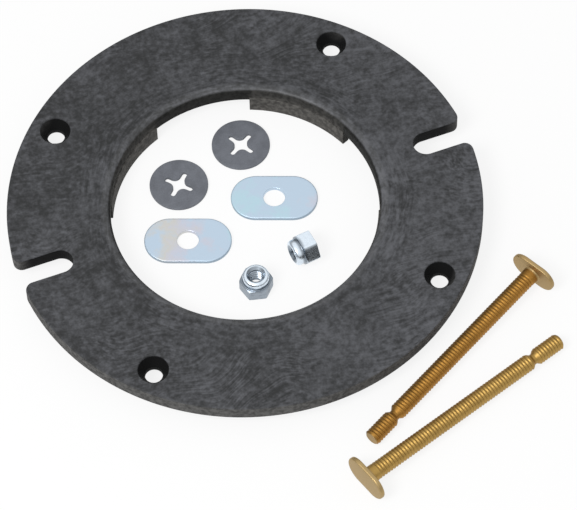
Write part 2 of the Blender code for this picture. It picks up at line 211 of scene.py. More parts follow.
class RetainerSettings(bpy.types.PropertyGroup):
    """Sizes, turns and colour of the two retainer washers."""
    diameter: length("Diameter", "Outside diameter", 0.0222)
    thickness: length("Thickness", "Thickness of the sheet", node_size("retainer_washer_1").z)
    slit_width: length("Slit width", "Width of the four slits", 0.0019)
    slit_reach: length("Slit reach", "Middle to the end of a slit", 0.0057)
    waist: length("Waist", "Middle to the tip of a tongue", 0.00235)
    edge: length("Edge", "Eased edges", 0.0002)
    first_turn: angle("First turn", "Turn of the first retainer's cross", 44.0)
    second_turn: angle("Second turn", "Turn of the second retainer's cross", 31.0)
    fibre: colour("Fibre", "Slate grey sheet", (0.143, 0.153, 0.176))


class StageSettings(bpy.types.PropertyGroup):
    """Floor, light and camera."""
    floor: colour("Floor", "Pale floor", (0.95, 0.95, 0.95))
    floor_reach: length("Floor reach", "Middle of the floor to its sides", 4.0)
    floor_gap: length("Floor gap", "Floor to the surface that the kit lies on", 0.00005)
    shadow: share("Shadow", "How much of the floor's shadow the camera sees", 0.15)
    world_level: FloatProperty(name="World level", description="Even light from all round", default=0.59,
                               min=0.0)
    horizon_level: share("Horizon level", "Brightness of the surround low down, in reflections", 0.36)
    key_power: FloatProperty(name="Key power", description="Power of the large lamp overhead", default=9.7,
                             min=0.0, unit="POWER")
    lamp_width: length("Lamp width", "Diameter of the large lamp overhead", 0.6)
    lamp_place: spot("Lamp place", "Place of the large lamp overhead", (-0.70, -0.40, 1.05))
    focal_length: FloatProperty(name="Focal length", description="Focal length of the camera",
                                default=216.479, min=1.0, subtype="DISTANCE_CAMERA", unit="CAMERA")
    camera_place: spot("Camera place", "Camera, from the middle of the ring",
                       (-0.215298, -0.669893, 1.098761))
    camera_tilt: angle("Camera tilt", "Turn about X, from looking straight down", 32.01415)
    camera_roll: angle("Camera roll", "Turn about Y, after the tilt", 0.92393)
    camera_heading: angle("Camera heading", "Turn about Z, after the other two", -20.57014)


class FlangeKitSettings(bpy.types.PropertyGroup):
    ring: PointerProperty(type=FlangeRingSettings)
    bolt: PointerProperty(type=BoltSettings)
    nut: PointerProperty(type=NutSettings)
    washer: PointerProperty(type=WasherSettings)
    retainer: PointerProperty(type=RetainerSettings)
    stage: PointerProperty(type=StageSettings)


class Value:
    """A shader socket that joins in Python sums: each operator adds a Math node."""

    def __init__(self, finish, socket):
        self.finish = finish
        self.socket = socket

    def math(self, operation, *values):
        """Adds a Math node with these values."""
        return self.finish.node("ShaderNodeMath", {"operation": operation}, dict(enumerate(values)))

    def __add__(self, other):
        return self.math("ADD", self, other)

    def __radd__(self, other):
        return self.math("ADD", other, self)

    def __sub__(self, other):
        return self.math("SUBTRACT", self, other)

    def __rsub__(self, other):
        return self.math("SUBTRACT", other, self)

    def __mul__(self, other):
        return self.math("MULTIPLY", self, other)

    def __rmul__(self, other):
        return self.math("MULTIPLY", other, self)

    def __abs__(self):
        return self.math("ABSOLUTE", self)

    def larger(self, other):
        """The larger of two values."""
        return self.math("MAXIMUM", self, other)


class Finish:
    """The node tree of one material, or of the world, written as expressions on its sockets."""

    def __init__(self, owner):
        owner.use_nodes = True
        self.owner = owner
        self.tree = owner.node_tree
        self.tree.nodes.clear()

    def node(self, kind, settings=None, sockets=None, output=0):
        """Adds a node: its settings first, then the values or links of its sockets. Gives one output."""
        made = self.tree.nodes.new(kind)
        for key, value in (settings or {}).items():
            if key == "stops":
                self.set_stops(made.color_ramp.elements, value)
            else:
                setattr(made, key, value)
        for key, value in (sockets or {}).items():
            if isinstance(value, Value):
                self.tree.links.new(value.socket, made.inputs[key])
            else:
                made.inputs[key].default_value = value
        return Value(self, made.outputs[output]) if made.outputs else made

    @staticmethod
    def set_stops(elements, stops):
        """Sets a ramp's stops from (position, colour) pairs."""
        while len(elements) < len(stops):
            elements.new(1.0)
        for element, (position, tint) in zip(elements, stops):
            element.position = position
            element.color = solid(tint)

    def mix(self, factor, first, second):
        """A colour between two others, on the Mix node's colour sockets."""
        return self.node("ShaderNodeMix", {"data_type": "RGBA"}, {0: factor, 6: first, 7: second}, output=2)

    def step(self, value, low, high):
        """0 below low, 1 above high, smooth between them."""
        return self.node("ShaderNodeMapRange", {"interpolation_type": "SMOOTHSTEP"},
                         {0: value, 1: low, 2: high, 3: 0.0, 4: 1.0})

    def noise(self, place, scale, detail=3.0, roughness=0.5, distortion=0.0):
        """Soft noise, about 0.5, with a scale in cells to the metre."""
        return self.node("ShaderNodeTexNoise", {"noise_dimensions": "3D"},
                         {"Vector": place, "Scale": scale, "Detail": detail, "Roughness": roughness,
                          "Distortion": distortion})

    def object_place(self, centre=(0.0, 0.0, 0.0)):
        """Object coordinates, counted from a centre."""
        place = self.node("ShaderNodeTexCoord", output="Object")
        return self.node("ShaderNodeMapping", None, {"Vector": place, "Location": [-c for c in centre]})

    def local_place(self):
        """The piece's own coordinates, from before it was put in its place."""
        return self.node("ShaderNodeAttribute", {"attribute_name": LOCAL}, output="Vector")

    def part(self, vector, axis):
        """One component of a vector."""
        return self.node("ShaderNodeSeparateXYZ", None, {0: vector}, output=axis)

    def stretched(self, vector, scale):
        """A vector with each component scaled."""
        return self.node("ShaderNodeVectorMath", {"operation": "MULTIPLY"}, {0: vector, 1: scale})

    def shifted(self, vector, offset):
        """A vector moved by an offset."""
        return self.node("ShaderNodeVectorMath", {"operation": "ADD"}, {0: vector, 1: offset})

    def size(self, vector):
        """Length of a vector."""
        return self.node("ShaderNodeVectorMath", {"operation": "LENGTH"}, {0: vector}, output="Value")

    def joined(self, x, y, z):
        """A vector from three numbers."""
        return self.node("ShaderNodeCombineXYZ", None, {0: x, 1: y, 2: z})

    def bump(self, height, strength, distance):
        """A normal tilted by a height."""
        return self.node("ShaderNodeBump", None,
                         {"Strength": strength, "Distance": distance, "Height": height})

    def principled(self, sockets):
        """A Principled surface wired to the material's output."""
        surface = self.node("ShaderNodeBsdfPrincipled", None, sockets)
        self.node("ShaderNodeOutputMaterial", None, {"Surface": surface})
        return self.owner


def solid(tint):
    """A colour with its alpha."""
    return (*tint[:3], 1.0)


def shade(tint, level):
    """A colour made darker or paler."""
    return solid([part * level for part in tint])


class Shell:
    """A closed mesh put together from grids of points that meet along their edges."""

    def __init__(self, *grids):
        self.points = []
        self.faces = []
        self.count = 0
        for grid in grids:
            self.add(grid)

    def add(self, grid):
        """Adds the faces of a grid; grid[i, j] is the point at the i-th row and j-th column."""
        rows, columns = grid.shape[:2]
        index = np.arange(rows * columns).reshape(rows, columns) + self.count
        corners = (index[:-1, :-1], index[:-1, 1:], index[1:, 1:], index[1:, :-1])
        self.faces.append(np.stack(corners, axis=-1).reshape(-1, 4))
        self.points.append(grid.reshape(-1, 3))
        self.count += rows * columns

    def piece(self, name, place, material):
        """Makes the object: welds the grids, keeps the local coordinates and puts the mesh in place."""
        points = np.concatenate(self.points)
        faces = np.concatenate(self.faces)
        mesh = bpy.data.meshes.new(name)
        mesh.vertices.add(len(points))
        mesh.vertices.foreach_set("co", points.ravel())
        mesh.loops.add(faces.size)
        mesh.loops.foreach_set("vertex_index", faces.ravel())
        mesh.polygons.add(len(faces))
        mesh.polygons.foreach_set("loop_start", np.arange(0, faces.size, 4))
        mesh.update(calc_edges=True)
        welded = bmesh.new()
        welded.from_mesh(mesh)
        bmesh.ops.remove_doubles(welded, verts=welded.verts, dist=WELD_DISTANCE)
        bmesh.ops.dissolve_degenerate(welded, edges=welded.edges, dist=WELD_DISTANCE)
        bmesh.ops.recalc_face_normals(welded, faces=welded.faces)
        welded.to_mesh(mesh)
        welded.free()
        places = np.empty(3 * len(mesh.vertices))
        mesh.vertices.foreach_get("co", places)
        kept = mesh.attributes.new(LOCAL, "FLOAT_VECTOR", "POINT")
        kept.data.foreach_set("vector", places)
        mesh.transform(place)
        mesh.shade_smooth()
        mesh.set_sharp_from_angle(angle=SHARP_EDGE)
        mesh.materials.append(material)
        made = bpy.data.objects.new(name, mesh)
        bpy.context.scene.collection.objects.link(made)
        return made


def polar(radius, height, angles):
    """Grid of a polar surface: x = radius cos(angle), y = radius sin(angle), z = height.

    radius and height may change with both the row and the column.
    """
    radius, height, angles = np.broadcast_arrays(radius, height, angles[None, :])
    return np.stack((radius * np.cos(angles), radius * np.sin(angles), height), axis=-1)


def column(steps):
    """Numbers from 0 to 1, as a column."""
    return np.linspace(0.0, 1.0, steps + 1)[:, None]


def line(t):
    """A straight run: the radius and the height both go as t."""
    return t, t


def level_bend(t):
    """A quarter of an ellipse that starts level and ends upright: sine for the radius, 1 - cosine up."""
    return np.sin(t * TURN / 4.0), 1.0 - np.cos(t * TURN / 4.0)


def upright_bend(t):
    """A quarter of an ellipse that starts upright and ends level: 1 - cosine for the radius, sine up."""
    return 1.0 - np.cos(t * TURN / 4.0), np.sin(t * TURN / 4.0)


def crowned(t):
    """A slight crown, level in the middle: the height goes as t squared."""
    return t, t ** 2


def tapered(t):
    """A taper that levels out at its end: the height goes as 1 - (1 - t) to the power 1.5."""
    return t, 1.0 - (1.0 - t) ** 1.5


def turned(angles, start, *spans):
    """Grid of a profile carried round the Z axis.

    The profile starts at a radius and a height. Each span gives its kind, the radius and height of its
    end, and its steps; the kind says how far the radius and the height have gone at t. A radius or
    height may change with the angle.
    """
    radius, height = start
    rows = [polar(radius, height, angles)]
    for kind, end_radius, end_height, steps in spans:
        across, along = kind(column(steps)[1:])
        rows.append(polar(radius + (end_radius - radius) * across,
                          height + (end_height - height) * along, angles))
        radius, height = end_radius, end_height
    return np.concatenate(rows)


def lines(*ends):
    """Straight spans of one step, through the radius and height of each end."""
    return [(line, radius, height, 1) for radius, height in ends]


def stadium_radius(angles, half_width, reach):
    """Distance from the middle to the edge of an oblong, along each angle.

    The oblong is a circle of radius half_width drawn out along Y by reach on each side. A ray meets a
    straight side where |x| = half_width, or else the round end whose middle is reach up the Y axis.
    """
    across = np.abs(np.cos(angles))
    along = np.abs(np.sin(angles))
    side = half_width / np.maximum(across, 1e-9)
    end = reach * along + np.sqrt(np.maximum(half_width ** 2 - (reach * across) ** 2, 0.0))
    return np.where(side * along <= reach, side, end)


def thread_wave(turns):
    """Thread section against turns along the axis: 1 on the crest, 0 in the root, both a little flat.

    It is a cosine pressed flat by tanh, scaled to go from 0 to 1.
    """
    flatness = 1.6
    return 0.5 + 0.5 * np.tanh(flatness * np.cos(TURN * turns)) / math.tanh(flatness)


def smooth_rise(value):
    """0 below 0, 1 above 1, smooth between."""
    value = np.clip(value, 0.0, 1.0)
    return value * value * (3.0 - 2.0 * value)


def spaced(*spans):
    """Numbers through a run of spans, each given as start, end and steps."""
    runs = [np.linspace(start, end, steps, endpoint=False) for start, end, steps in spans]
    return np.concatenate(runs + [spans[-1][1:2]])


def circle_points(radius, angles):
    """Points in the plan on a circle about the middle."""
    return radius * np.stack((np.cos(angles), np.sin(angles)), axis=-1)


def at_level(plan, level):
    """Points in the plan lifted to a height."""
    return np.concatenate((plan, np.broadcast_to(level, plan.shape[:-1])[..., None]), axis=-1)


def ruled(first, second, rows):
    """Grid of straight lines from one path to another."""
    t = column(rows)[:, :, None]
    return (1.0 - t) * first + t * second


# A quarter of the ring's outer path runs round the slot's end, along its side, round the mouth's corner
# and along the rim beside it, in SLOT_STEPS. The rest of the rim goes through ARC_STOPS in ARC_STEPS.
# Round the bore, INNER_STOPS are the angles that face the ends of the slot's four runs.
SLOT_STEPS = (16, 10, 14, 4)
ARC_STEPS = (8, 16, 20, 14, 14)
TAB_ENDS = (math.radians(22.0), math.radians(68.0))
HOLE_SIDES = (math.radians(39.0), math.radians(51.0))
HOLE_TURN = TURN / 8.0
ARC_STOPS = (TAB_ENDS[0], *HOLE_SIDES, TAB_ENDS[1], TURN / 4.0)
INNER_STOPS = (0.0, math.radians(9.6), math.radians(12.5), math.radians(14.4), math.radians(15.0))

# The strip is the part of the face that follows the slot. Its sizes are from the slot's middle line, from
# the rim, along the rim and inwards from its end.
STRIP_HALF_WIDTH = 0.00985
STRIP_FROM_RIM = 0.0045
STRIP_END = 0.01105
STRIP_GAP = 0.0018

STRIP_ROWS = 4
BAND_ROWS = 5
FAN_ROWS = 12
HOLE_ROWS = 8


def arc_spans(start):
    """Spans of angle along the rim or a circle within it, from a start to a quarter turn."""
    stops = (start, *ARC_STOPS)
    return zip(stops, stops[1:], ARC_STEPS)


def inner_turns():
    """Angles of the columns round the bore, one for each point of the outer path."""
    return spaced(*zip(INNER_STOPS, INNER_STOPS[1:], SLOT_STEPS), *arc_spans(INNER_STOPS[-1]))


def slot_end(size):
    """Distance from the axis to the middle of the slot's round inner end."""
    return size.rim - size.slot_depth + size.slot_width / 2


def ring_outline(size):
    """A quarter of the ring's outer edge in the plan, with its inward directions and upper edge rounds.

    It goes round the slot's inner end, along the slot's side, round the mouth's corner, which is tangent
    to the side and to the rim, and along the rim to a quarter turn. The round grows from the slot's ease
    to the rim's round along the mouth's corner.
    """
    half = size.slot_width / 2
    end = slot_end(size)
    corner_y = half + size.slot_mouth
    corner_x = math.sqrt((size.rim - size.slot_mouth) ** 2 - corner_y ** 2)
    lean = math.atan2(corner_y, corner_x)
    clear = math.asin(STRIP_END / size.rim)
    round_end = circle_points(1.0, spaced((TURN / 2.0, TURN / 4.0, SLOT_STEPS[0]))[:-1])
    along = spaced((end, corner_x, SLOT_STEPS[1]))[:-1]
    side = np.stack((along, np.full_like(along, half)), axis=-1)
    mouth = circle_points(1.0, spaced((-TURN / 4.0, lean, SLOT_STEPS[2]))[:-1])
    rim = circle_points(1.0, spaced((lean, clear, SLOT_STEPS[3]), *arc_spans(clear)))
    corner = (corner_x, corner_y) + size.slot_mouth * mouth
    edge = np.concatenate(((end, 0.0) + half * round_end, side, corner, size.rim * rim))
    inward = np.concatenate((round_end, np.broadcast_to((0.0, 1.0), side.shape), -mouth, -rim))
    along_mouth = (np.arange(len(edge)) - len(round_end) - len(side)) / len(mouth)
    rounds = size.slot_ease + (size.rim_round - size.slot_ease) * smooth_rise(along_mouth)
    return edge, inward, rounds[:, None]


def ring_plan(size, edge, bore_side, hole, hole_turns=None):
    """Grids in the plan of a quarter of the ring's upper or lower face, out to its edge.

    The face is cut into an inner band, a strip beside the slot, fans of straight lines out to the rim and
    a frame of spokes about the screw hole. Gives the grids and the angles of the spokes, which point at
    the frame's outer points where none are given.
    """
    slot_count = sum(SLOT_STEPS)
    end = slot_end(size)
    outer = size.rim - STRIP_FROM_RIM
    end_turns = spaced((TURN / 2.0, TURN / 4.0, SLOT_STEPS[0]))[:-1]
    round_end = (end, 0.0) + circle_points(STRIP_HALF_WIDTH, end_turns)
    along = spaced((end, outer, SLOT_STEPS[1]))[:-1]
    side = np.stack((along, np.full_like(along, STRIP_HALF_WIDTH)), axis=-1)
    last = np.linspace((outer, STRIP_HALF_WIDTH), edge[slot_count], SLOT_STEPS[2] + SLOT_STEPS[3] + 1)
    path = np.concatenate((round_end, side, last))
    strip = ruled(edge[:slot_count + 1], path, STRIP_ROWS)

    turns = inner_turns()
    band = circle_points(end - STRIP_HALF_WIDTH - STRIP_GAP, turns)
    outside = np.concatenate((path, edge[slot_count + 1:]))
    first = slot_count + sum(ARC_STEPS[:2])
    second = first + ARC_STEPS[2]
    grids = [strip,
             ruled(circle_points(bore_side, turns), band, BAND_ROWS),
             ruled(band[:first + 1], outside[:first + 1], FAN_ROWS),
             ruled(band[second:], outside[second:], FAN_ROWS)]
    sides = [np.linspace(band[k], outside[k], FAN_ROWS + 1) for k in (first, second)]
    loop = np.concatenate((band[first:second], sides[1][:-1], outside[second:first:-1], sides[0][:0:-1]))
    centre = circle_points(size.hole_circle, np.array(HOLE_TURN))
    if hole_turns is None:
        hole_turns = np.arctan2(*(loop - centre).T[::-1])
    spokes = ruled(centre + circle_points(hole, hole_turns), loop, HOLE_ROWS)
    grids.append(np.concatenate((spokes, spokes[:, :1]), axis=1))
    return grids, hole_turns


def ring_shell(size):
    """The spacer ring about the Z axis, with its slots along X.

    A quarter is made of flat grids for the upper and lower face, an edge profile carried along the outer
    path, bore profiles turned about the axis with and without a collar tab, and a countersink turned
    about the hole's axis. The quarter is mirrored three times.
    """
    top = size.top_level
    under = size.under_level
    ease = size.ease
    bevel = size.tab_edge
    eased = size.hole_ease
    edge, inward, rounds = ring_outline(size)
    upper, turns = ring_plan(size, edge + rounds * inward, size.bore + size.edge_round,
                             size.hole_head + eased)
    lower, turns = ring_plan(size, edge + ease * inward, size.tab_outer, size.hole + eased, turns)
    grids = [at_level(grid, top) for grid in upper]
    grids += [at_level(grid, under) for grid in lower]

    t = column(6)[:, :, None]
    across, down = level_bend(t)
    rolled = at_level(edge + rounds * (1.0 - across) * inward, top - (rounds * down)[:, :, 0])
    across, down = upright_bend(t)
    foot = at_level(edge + ease * across * inward, under + ease * (1.0 - down[:, :, 0]))
    grids += [rolled, ruled(rolled[-1], foot[0], 4), foot]

    columns = inner_turns()
    first, second = [np.argmin(np.abs(columns - end)) for end in TAB_ENDS]
    grids.append(turned(columns, (size.bore + size.edge_round, top),
                        (level_bend, size.bore, top - size.edge_round, 10),
                        (line, size.bore, size.tab_top, 4)))
    ledge = (size.bore, size.tab_top)
    plain = ((line, size.bore, under + ease, 3),
             (upright_bend, size.bore + ease, under, 3),
             (line, size.tab_outer, under, 4))
    before = turned(columns[:first + 1], ledge, *plain)
    after = turned(columns[second:], ledge, *plain)
    collar = turned(columns[first:second + 1], ledge, *lines(
        (size.tab_inner + bevel, size.tab_top),
        (size.tab_inner, size.tab_top - bevel),
        (size.tab_inner, 0.6 * size.tab_top),
        (size.tab_inner, 0.3 * size.tab_top),
        (size.tab_inner, bevel),
        (size.tab_inner + bevel, 0.0),
        (size.tab_outer - bevel, 0.0),
        (size.tab_outer, bevel),
        (size.tab_outer, under / 2),
        (size.tab_outer, under)))
    tab_ends = [np.stack((before[:, -1], collar[:, 0])), np.stack((after[:, 0], collar[:, -1]))]
    grids += [before, collar, after, *tab_ends]

    sink = turned(np.append(turns, turns[0]), (size.hole_head + eased, top), *lines(
        (size.hole_head + 0.3 * eased, top - 0.2 * eased),
        (size.hole_head, top - 0.8 * eased),
        (size.hole, top - size.sink),
        (size.hole, under + eased),
        (size.hole + 0.3 * eased, under + 0.3 * eased),
        (size.hole + eased, under)))
    grids.append(sink + np.append(circle_points(size.hole_circle, np.array(HOLE_TURN)), 0.0))

    mirrors = [(x_side, y_side, 1.0) for x_side in (1.0, -1.0) for y_side in (1.0, -1.0)]
    return Shell(*[grid * mirror for mirror in mirrors for grid in grids])


def bolt_shell(size):
    """A bolt along Z: the head below 0 and the threaded shank up to the tip.

    The head is a profile carried round the oblong's polar radius, with a crowned outer face, and tapers
    into a circle at the neck. On the shank, radius = the smaller of the outline with its groove and tip,
    and outside radius - depth (1 - wave(z / pitch - angle / turn)).
    """
    columns = 56
    rows_per_turn = 10
    angles = np.linspace(0.0, TURN, columns + 1)
    radius = size.diameter / 2
    half_width = size.head_width / 2
    edge = stadium_radius(angles, half_width, size.head_length / 2 - half_width)[None, :]
    face_edge = size.head_crown - size.head_thickness
    fillet = size.neck_fillet
    head = turned(angles, (0.0, -size.head_thickness),
                  (crowned, edge - size.head_round, face_edge, 6),
                  (level_bend, edge, face_edge + size.head_round, 5),
                  (line, edge, -size.head_taper - size.head_ease, 1),
                  (upright_bend, edge - size.head_ease, -size.head_taper, 5),
                  (tapered, radius + fillet, 0.0, 6),
                  (level_bend, radius, fillet, 5))

    turns = angles[None, :] / TURN
    lowest = math.floor(fillet / size.pitch) - 1
    highest = math.ceil(size.length / size.pitch) + 1
    rows = np.arange(lowest, highest, 1.0 / rows_per_turn)[:, None]
    height = np.clip(size.pitch * (rows + turns), fillet, size.length)
    notch = size.length - size.notch_from_tip
    outline = np.interp(
        height,
        (fillet, notch - size.notch_width / 2, notch - size.notch_floor / 2, notch + size.notch_floor / 2,
         notch + size.notch_width / 2, size.length - size.tip_chamfer, size.length),
        (radius, radius, radius - size.notch_depth, radius - size.notch_depth, radius, radius,
         radius - size.tip_chamfer))
    depth = size.thread_depth * smooth_rise((height - size.plain_neck) / (2.0 * size.pitch))
    thread = radius - depth * (1.0 - thread_wave(height / size.pitch - turns))
    shank = polar(np.minimum(outline, thread), height, angles)
    tip = turned(angles, (radius - size.tip_chamfer, size.length), (line, 0.0, size.length, 4))
    return Shell(head, shank, tip)


def nut_shell(size, pitch):
    """An open-end nut on its base, along Z, with flats that face X.

    The hexagon's polar radius is flat / cos(angle from the nearest flat), less a little at the corners.
    Each flat stops where it meets the shoulder's cone, so its upper row is at
    hex height - (radius - flat) tan(slope). The bore's radius is crest + depth wave(z / pitch - angle /
    turn), flared to the mouth at both ends.
    """
    columns = 120
    thread_rows = 83
    rows = 4
    bend_rows = 8
    corner_sharpness = 8
    angles = np.linspace(0.0, TURN, columns + 1)
    half_flat = TURN / 12.0
    from_flat = np.mod(angles + half_flat, 2.0 * half_flat) - half_flat
    wear = size.corner_wear * (np.abs(from_flat) / half_flat) ** corner_sharpness
    hexagon = (size.flat / np.cos(from_flat) - wear)[None, :]
    shoulder = size.hex_height - (hexagon - size.flat) * math.tan(size.shoulder_slope)
    flare = size.mouth - size.crest
    round_over = size.collar - size.mouth - size.lip
    outside = turned(angles, (size.mouth, 0.0),
                     (line, hexagon - size.foot_ease, 0.0, rows),
                     (level_bend, hexagon, size.foot_ease, bend_rows),
                     (line, hexagon, shoulder, rows),
                     (line, size.flat, size.hex_height, rows),
                     (line, size.collar + size.collar_fillet, size.hex_height, rows),
                     (level_bend, size.collar, size.hex_height + size.collar_fillet, bend_rows),
                     (line, size.collar, size.height - round_over, rows),
                     (upright_bend, size.mouth + size.lip, size.height, bend_rows),
                     (line, size.mouth, size.height, rows),
                     (line, size.crest, size.height - flare, rows))
    height = np.linspace(size.height - flare, flare, thread_rows + 1)[:, None]
    fade = smooth_rise((height - flare) / pitch) * smooth_rise((size.height - flare - height) / pitch)
    wave = thread_wave(height / pitch - angles[None, :] / TURN)
    bore = polar(size.crest + size.thread_depth * fade * wave, height, angles)
    lower_mouth = turned(angles, (size.crest, flare), (line, size.mouth, 0.0, rows))
    return Shell(outside, bore, lower_mouth)


def sheet_shell(angles, hole, edge, thickness, lip, roll, drop, foot, bend_rows):
    """A flat sheet with a hole, on Z = 0: a profile carried round the hole.

    From the hole's upper edge, rounded by the lip, it goes out along the top, down over an edge rolled by
    roll across and drop down, round the foot's edge, back along the underside and up the hole's wall.
    """
    rows = 8
    return Shell(turned(angles, (hole, thickness - lip),
                        (upright_bend, hole + lip, thickness, bend_rows),
                        (line, edge - roll, thickness, rows),
                        (level_bend, edge, thickness - drop, bend_rows),
                        (line, edge, foot, rows),
                        (upright_bend, edge - foot, 0.0, bend_rows),
                        (line, hole, 0.0, rows),
                        (line, hole, thickness - lip, rows)))


def washer_shell(size):
    """An oblong washer, long along Y: a sheet from the hole's circle to the oblong's polar radius."""
    columns = 192
    angles = np.linspace(0.0, TURN, columns + 1)
    half_width = size.width / 2
    edge = stadium_radius(angles, half_width, size.length / 2 - half_width)[None, :]
    return sheet_shell(angles, size.hole, edge, size.thickness, size.hole_roll, size.roll_width,
                       size.roll_drop, size.burr, bend_rows=6)


def tongue_corner(size):
    """Distance along a slit's axis to the middle of the arc at a tongue's tip."""
    return (size.waist - size.slit_width / 2) / (math.sqrt(2.0) - 1.0)


def cross_breaks(size):
    """Angles from a slit's axis at which its round end, its straight side and the tongue's arc end."""
    half = size.slit_width / 2
    return math.atan2(half, size.slit_reach - half), math.atan2(half, tongue_corner(size)), TURN / 8.0


def cross_radius(angles, size):
    """Distance from the middle to the edge of the cross-shaped hole, along each angle.

    Near a slit's axis it is the slit's round end, then the slit's straight side, half width / sin(angle),
    then the arc at the tip of the tongue between two slits, which is tangent to both of them.
    """
    half = size.slit_width / 2
    away = np.abs(np.mod(angles + TURN / 8.0, TURN / 4.0) - TURN / 8.0)
    end = size.slit_reach - half
    corner = tongue_corner(size)
    tip = end * np.cos(away) + np.sqrt(np.maximum(half ** 2 - (end * np.sin(away)) ** 2, 0.0))
    side = half / np.maximum(np.sin(away), 1e-9)
    middle = corner * (np.cos(away) + np.sin(away))
    tongue = middle - np.sqrt(np.maximum(middle ** 2 - 2.0 * corner ** 2 + (corner - half) ** 2, 0.0))
    tip_ends, side_ends, _ = cross_breaks(size)
    return np.where(away <= tip_ends, tip, np.where(away <= side_ends, side, tongue))


def retainer_shell(size):
    """A retainer washer: a sheet from the cross-shaped hole to a round rim."""
    tip_ends, side_ends, middle = cross_breaks(size)
    eighth = spaced((0.0, tip_ends, 8), (tip_ends, side_ends, 3), (side_ends, middle, 12))
    fan = np.concatenate((eighth, TURN / 4.0 - eighth[-2:0:-1]))
    angles = np.concatenate([fan + k * TURN / 4.0 for k in range(4)] + [[TURN]])
    cross = cross_radius(angles, size)[None, :]
    ease = size.edge
    return sheet_shell(angles, cross, size.diameter / 2, size.thickness, ease, ease, ease, ease,
                       bend_rows=4)


def top_strokes(finish, settings, flat, heading, radius):
    """Fine scratches in the ring's top, about 0.5.

    Near the bore they are arcs: noise on the heading and, far finer, on the radius. Beyond it they are
    straight strokes in two directions, which take turns in soft patches.
    """
    fineness = 950.0
    arc_length = 11.0
    stroke_length = 150.0
    wander = finish.noise(flat, scale=16.0, detail=2.0)
    patches = finish.noise(finish.shifted(flat, (3.0, 1.0, 0.0)), scale=24.0, detail=2.0)
    outward = finish.joined(0.0, 0.0, radius * fineness + wander * 15.0)
    arcs = finish.noise(
        finish.shifted(finish.stretched(heading, (arc_length, arc_length, 0.0)), outward),
        scale=1.0, detail=1.5, roughness=0.6)
    sideways = finish.joined(0.0, wander * 60.0, 0.0)
    straight = []
    for degrees in (-38.0, 27.0):
        drawn = finish.node("ShaderNodeMapping", None, {
            "Vector": flat, "Rotation": (0.0, 0.0, math.radians(degrees)),
            "Scale": (stroke_length, fineness, 1.0)})
        straight.append(finish.noise(finish.shifted(drawn, sideways), scale=1.0, detail=1.5, roughness=0.6))
    one_way = finish.step(patches, 0.42, 0.58)
    across = straight[0] * one_way + straight[1] * (1.0 - one_way)
    near_bore = 1.0 - finish.step(radius + patches * 0.020, settings.bore + 0.017, settings.bore + 0.028)
    return arcs * near_bore + across * (1.0 - near_bore)


def charcoal(settings, centre):
    """Charcoal plastic with a scratched top, a little paler towards +X and -Y.

    The holes and slots are painted near-black as shade, lightening towards the rim along the slots.
    The outer wall and the collar tabs are dusty grey. The bore's wall is painted near-black as shade,
    and above the tabs it gives way to the tabs' grey, most of all low down. The lip of the bore has a
    soft shine.
    """
    finish = Finish(bpy.data.materials.new("charcoal_plastic"))
    place = finish.object_place(centre)
    flat = finish.stretched(place, (1.0, 1.0, 0.0))
    heading = finish.node("ShaderNodeVectorMath", {"operation": "NORMALIZE"}, {0: flat})
    radius = finish.size(flat)
    height = finish.part(place, 2)
    top = settings.top_level
    bore = settings.bore

    strokes = top_strokes(finish, settings, flat, heading, radius)
    cloud = finish.noise(flat, scale=30.0, detail=2.0, roughness=0.6)
    mottle = finish.noise(flat, scale=190.0, detail=3.0, roughness=0.6)
    grain = finish.noise(place, scale=600.0, detail=2.0, roughness=0.6)
    rubbed = finish.noise(finish.shifted(flat, (7.0, 2.0, 0.0)), scale=34.0, detail=2.0)
    worn = 0.20 + 0.42 * finish.step(rubbed, 0.36, 0.62)
    tone = ((strokes - 0.5) * worn + cloud * 0.40 + mottle * 0.45 + grain * 0.56 - 0.255
            + finish.part(place, 0) * 0.5 - finish.part(place, 1) * 0.30)
    scratched = finish.mix(finish.step(tone, 0.22, 0.78), solid(settings.dark_stroke),
                           solid(settings.pale_stroke))

    on_bore = 1.0 - finish.step(radius, bore + settings.edge_round, bore + 0.004)
    on_lip = on_bore * finish.step(height, top - 0.0011, top - 0.0004)
    above = finish.step(height, top - 0.0006, top - 0.0002)
    on_rim = finish.step(radius, settings.rim - 0.0070, settings.rim - 0.0002)
    on_tab = 1.0 - finish.step(radius, bore - 0.0003, bore - 0.0001)
    # Painted shade on the bore's wall, mottled by the grain as the dusty rim and tabs are.
    rim_dust, bore_shade_mottled, tab_dust = [
        finish.mix(finish.step(grain, 0.30, 0.70), shade(wall_tint, 0.6), shade(wall_tint, 1.4))
        for wall_tint in (settings.dusty, settings.bore_shade, settings.tab_grey)]
    # x y / radius squared is 0.35 at the ends of a tab.
    over_tab = finish.step(abs(finish.part(heading, 0) * finish.part(heading, 1)), 0.33, 0.37)
    # Above the tabs the bore's painted shade gives way to the tabs' grey, most of all low down.
    low_down = 1.0 - finish.step(height, settings.tab_top - 0.0010, top - 0.0020)
    bore_side = finish.mix(over_tab * (0.25 + low_down * 0.55), bore_shade_mottled, tab_dust)
    # Painted shade: near-black in the holes and slots, lightening along the slots towards the rim's dusty
    # grey.
    walls = finish.mix(on_rim, solid(settings.wall), rim_dust)
    walls = finish.mix(on_tab, finish.mix(on_bore, walls, bore_side), tab_dust)
    return finish.principled({
        "Base Color": finish.mix(above.larger(on_lip), walls, scratched),
        "Roughness": 0.62 + grain * 0.16 + cloud * 0.08 - above * 0.12 - on_lip * 0.26,
        "Specular IOR Level": 0.12,
        "Coat Weight": on_lip * 0.55,
        "Coat Roughness": 0.45,
        "Normal": finish.bump(strokes * 0.4 + grain * 0.6, strength=0.30, distance=0.00010)})


